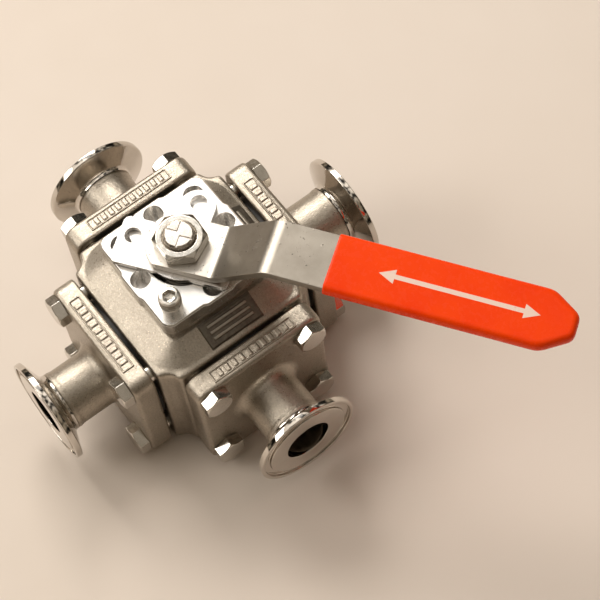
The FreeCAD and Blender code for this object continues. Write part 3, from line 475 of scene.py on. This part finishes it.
ferrule = lathe("ferrule_px", FERRULE_PROFILE, 160, hollow=True)
ferrule.data.transform(Matrix.Translation((0, 0, PORT_HEIGHT)) @ Matrix.Rotation(math.pi / 2, 4, "Y"))
weigh(smooth(ferrule, 50))
shell = cut(copy_of("end_cap_px", "cap_casting_px"), "DIFFERENCE", *BEYOND_NECK)
soften(cut(shell, "DIFFERENCE", *CAP_EDGE), 0.0005, 10, 0.4, 0.0001)
marks = soften(cut(copy_of("end_cap_px", "cap_marks_px"), "INTERSECT", *MARK_STRIP), 0.00018, 4, 0.5)
for turn, side in enumerate(("px", "py", "nx", "ny")):
    for first, kind, material, slot in (
        (ferrule, "ferrule", FERRULE, "machined_stainless"),
        (shell, "cap_casting", CAST, "cast_stainless"),
        (marks, "cap_marks", MARKS, "cast_stainless"),
    ):
        piece = first if side == "px" else link(f"{kind}_{side}", first.data)
        piece.matrix_world = Matrix.Rotation(turn * math.pi / 2, 4, "Z")
        dress(piece, "valve", material, slot, "end_cap_" + side)

# Fasteners, stem and sheet parts with broken edges

for name, body, width in (
    ("stop_plate", "handle", 0.00018), ("lever", "handle", 0.0004), ("gland_nut", "handle", 0.0002),
    ("stem", "handle", 0.00012), ("stop_sleeve", "valve", 0.0001),
    ("cap_bolts_px", "valve", 0.0002), ("cap_bolts_py", "valve", 0.0002),
    ("cap_bolts_nx", "valve", 0.0002), ("cap_bolts_ny", "valve", 0.0002),
):
    piece = bevelled(copy_of(name, name + "_finished"), width)
    dress(piece, body, FINISHES[SLOT_OF[name]], SLOT_OF[name], name)

# Lever nut with a countersunk mouth

MOUTH_REACH, MOUTH_DEPTH = 0.0075, 0.0009
nut = copy_of("lever_nut", "lever_nut_finished")
nut_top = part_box("lever_nut")[1][2]
work = whole_faces(nut)
mouth = [edge for edge in work.edges if all(
    vert.co.z > nut_top - 1e-5 and vert.co.xy.length < MOUTH_REACH for vert in edge.verts)]
bmesh.ops.bevel(work, geom=mouth, offset=MOUTH_DEPTH, offset_type="OFFSET", segments=1, affect="EDGES")
work.to_mesh(nut.data)
work.free()
dress(bevelled(nut, 0.0002), "handle", BOLT, "bolt_stainless", "lever_nut")

# Stop screw with a knurled head and a hexagon socket


def knurl(angle):
    """Radius of the head's knurl: every other point round it stands proud."""
    return 5.0 if round(angle * 60 / math.pi) % 2 else 4.7


def hexagon(half):
    """Radius, at each angle, of a hexagon with a given half width across flats."""
    return lambda angle: half / math.cos((angle + math.pi / 6) % (math.pi / 3) - math.pi / 6)


SCREW_PROFILE = [
    (84.8, 0.5), (84.8, 2.7), (85.1, 3.0), (96.0, 3.0), (96.0, 4.4), (96.3, 4.7), (96.4, knurl),
    (101.2, knurl), (101.35, 4.75), (101.85, 4.45), (102.0, 4.1), (102.0, hexagon(2.75)),
    (101.75, hexagon(2.5)), (99.2, hexagon(2.5)), (98.6, 0.2),
]

screw = smooth(lathe("stop_screw_finished", SCREW_PROFILE, 120), 25)
screw.matrix_world = Matrix.Translation(STOP_SCREW_AT)
dress(screw, "valve", BOLT, "bolt_stainless", "stop_screw")

# Dipped grip with soft edges, and a plain turn arrow in place of print

grip = soften(copy_of("grip_sleeve", "grip_dipped"), 0.00045, 8, 0.4, 0.00012, 0.02)
dress(grip, "handle", VINYL, "sleeve", "grip_sleeve")
TO_LEVER = Matrix.Rotation(LEVER_ANGLE, 4, "Z")
GRIP_FRAME = TO_LEVER @ Matrix.Translation(SECOND_BEND) @ Matrix.Rotation(LEVER_DROOP, 4, "Y")
START, END = 48, 118
SHAFT, HEAD, TIP = 1.1, 3.4, 7.0
INK_LOW, INK_HIGH = 0.00150, 0.00158
ARROW = [
    (START, 0), (START + TIP, -HEAD), (START + TIP, -SHAFT), (END - TIP, -SHAFT), (END - TIP, -HEAD),
    (END, 0), (END - TIP, HEAD), (END - TIP, SHAFT), (START + TIP, SHAFT), (START + TIP, HEAD),
]

work = bmesh.new()
low, high = (
    [work.verts.new((across * MM, up * MM, height)) for across, up in ARROW]
    for height in (INK_LOW, INK_HIGH))
work.faces.new(low)
work.faces.new(high)
for index in range(len(ARROW)):
    work.faces.new((low[index - 1], low[index], high[index], high[index - 1]))
bmesh.ops.recalc_face_normals(work, faces=work.faces)
arrow = built("turn_arrow", work)
arrow.matrix_world = GRIP_FRAME
dress(arrow, "handle", INK, "sleeve")

# Stage


def grid_surface(name, rows, columns, point):
    """A grid of quads through point(u, v), with u and v from 0 to 1."""
    mesh = bpy.data.meshes.new(name)
    vertices = [point(u / rows, v / columns) for u in range(rows + 1) for v in range(columns + 1)]
    faces = []
    for u in range(rows):
        for v in range(columns):
            low = u * (columns + 1) + v
            faces.append((low, low + 1, low + columns + 2, low + columns + 1))
    mesh.from_pydata(vertices, [], faces)
    return link(name, mesh)


def paper():
    """Plain warm paper under the valve."""
    s = Shader("warm_paper")
    color = s.mix(s.remap(s.noise(2.5, 3), 0.3, 0.7), shade(0.77, 0.685, 0.615), shade(0.74, 0.65, 0.57))
    return s.finish(color, s.remap(s.noise(40), 0.3, 0.7, 0.6, 0.7), None)


FLOOR_HALF = 3
floor = grid_surface("floor", 8, 8, lambda u, v: (FLOOR_HALF * (2 * u - 1), FLOOR_HALF * (1 - 2 * v), 0.0))
floor.data.materials.append(paper())


def area_light(name, place, aim, size, power, color):
    """A rectangular soft light, turned from its place towards a point."""
    data = bpy.data.lights.new(name, "AREA")
    data.shape = "RECTANGLE"
    data.size, data.size_y = size
    data.energy = power
    data.color = color
    light = bpy.data.objects.new(name, data)
    direction = Vector(aim) - Vector(place)
    light.matrix_world = Matrix.Translation(place) @ direction.to_track_quat("-Z", "Y").to_matrix().to_4x4()
    bpy.context.scene.collection.objects.link(light)
    return light


MIDDLE = (0.02, 0.02, 0.06)
area_light("overhead", (-0.82, 0.14, 1.60), MIDDLE, (0.5, 0.5), 0.5, (1.0, 0.985, 0.97))
area_light("key", (-1.50, 0.30, 1.62), MIDDLE, (1.3, 0.75), 30, (1.0, 0.95, 0.88))
area_light("window", (-0.75, -1.25, 1.15), MIDDLE, (0.9, 0.7), 10.5, (1.0, 0.95, 0.88))

# World: brightest above and towards the key light, broken into soft panels, with a plain wall behind

world = bpy.data.worlds.new("studio")
world.use_nodes = True
nodes, links = world.node_tree.nodes, world.node_tree.links
direction = nodes.new("ShaderNodeTexCoord").outputs["Generated"]
facing = nodes.new("ShaderNodeVectorMath")
facing.operation = "DOT_PRODUCT"
facing.inputs[1].default_value = (-0.35, 0.10, 0.93)
links.new(direction, facing.inputs[0])
ramp = nodes.new("ShaderNodeValToRGB")
ramp.color_ramp.elements[0].position = 0.50
ramp.color_ramp.elements[0].color = shade(0.17, 0.14, 0.102)
ramp.color_ramp.elements[1].position = 0.98
ramp.color_ramp.elements[1].color = shade(0.80, 0.735, 0.65)
links.new(facing.outputs["Value"], ramp.inputs["Fac"])
room = nodes.new("ShaderNodeTexNoise")
room.inputs["Scale"].default_value = 4.5
room.inputs["Detail"].default_value = 1.0
links.new(direction, room.inputs["Vector"])
panels = nodes.new("ShaderNodeMapRange")
for limit, value in (("From Min", 0.42), ("From Max", 0.58), ("To Min", 0.05), ("To Max", 1.95)):
    panels.inputs[limit].default_value = value
links.new(room.outputs["Fac"], panels.inputs["Value"])
around = nodes["Background"]
links.new(ramp.outputs["Color"], around.inputs["Color"])
links.new(panels.outputs["Result"], around.inputs["Strength"])
wall = nodes.new("ShaderNodeBackground")
wall.inputs["Color"].default_value = shade(0.62, 0.55, 0.48)
seen = nodes.new("ShaderNodeMixShader")
links.new(nodes.new("ShaderNodeLightPath").outputs["Is Camera Ray"], seen.inputs["Fac"])
links.new(around.outputs["Background"], seen.inputs[1])
links.new(wall.outputs["Background"], seen.inputs[2])
links.new(seen.outputs["Shader"], nodes["World Output"].inputs["Surface"])
bpy.context.scene.world = world
bpy.context.scene.view_settings.view_transform = "Standard"

# Camera

right = Vector((0.5917, 0.8019, -0.0822))
up = Vector((-0.6988, 0.5611, 0.4437))
back = right.cross(up).normalized()
up = back.cross(right)
camera_data = bpy.data.cameras.new("camera")
camera_data.lens = 140.2
camera_data.sensor_width = 36.0
camera_data.clip_start = 0.05
camera = bpy.data.objects.new("camera", camera_data)
turn = Matrix((right, up, back)).transposed().to_4x4()
camera.matrix_world = Matrix.Translation((0.4560, -0.1807, 0.9892)) @ turn
bpy.context.scene.collection.objects.link(camera)
bpy.context.scene.camera = camera
